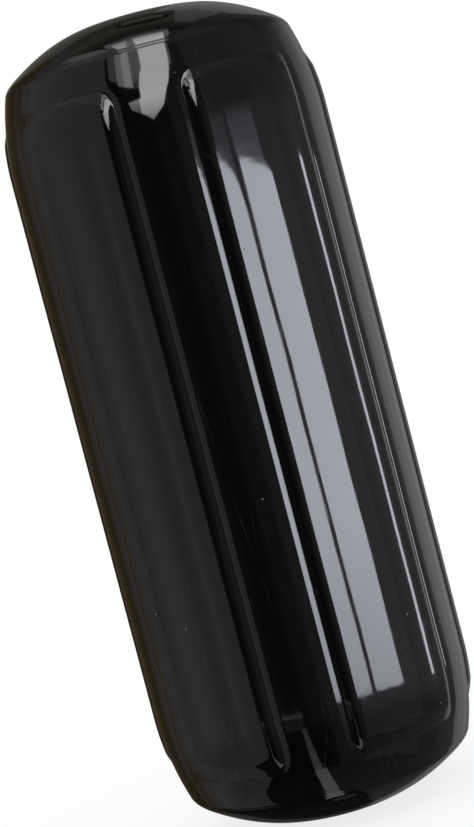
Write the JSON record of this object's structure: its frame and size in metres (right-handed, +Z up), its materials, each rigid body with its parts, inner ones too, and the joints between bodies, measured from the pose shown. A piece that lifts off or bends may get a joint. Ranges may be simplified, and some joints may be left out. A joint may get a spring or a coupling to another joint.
{
  "type": "boat fender",
  "caption": "Inflatable vinyl boat fender: upright cylinder with raised side panels, domed ends, a rope hole through its centre and a needle valve.",
  "frame": {"origin": "on the floor under the middle of the fender, which stands on its lower rest ring", "axes": "+Z up along the rope hole; -Y is the side that the picture shows, between two panels"},
  "size_m": [0.2018, 0.2001, 0.508],
  "materials": {
    "vinyl": "glossy",
    "valve_rubber": "matte"
  },
  "bodies": {
    "root": {"fender_body": "vinyl", "inflation_valve": "valve_rubber"}
  },
  "joints": []
}
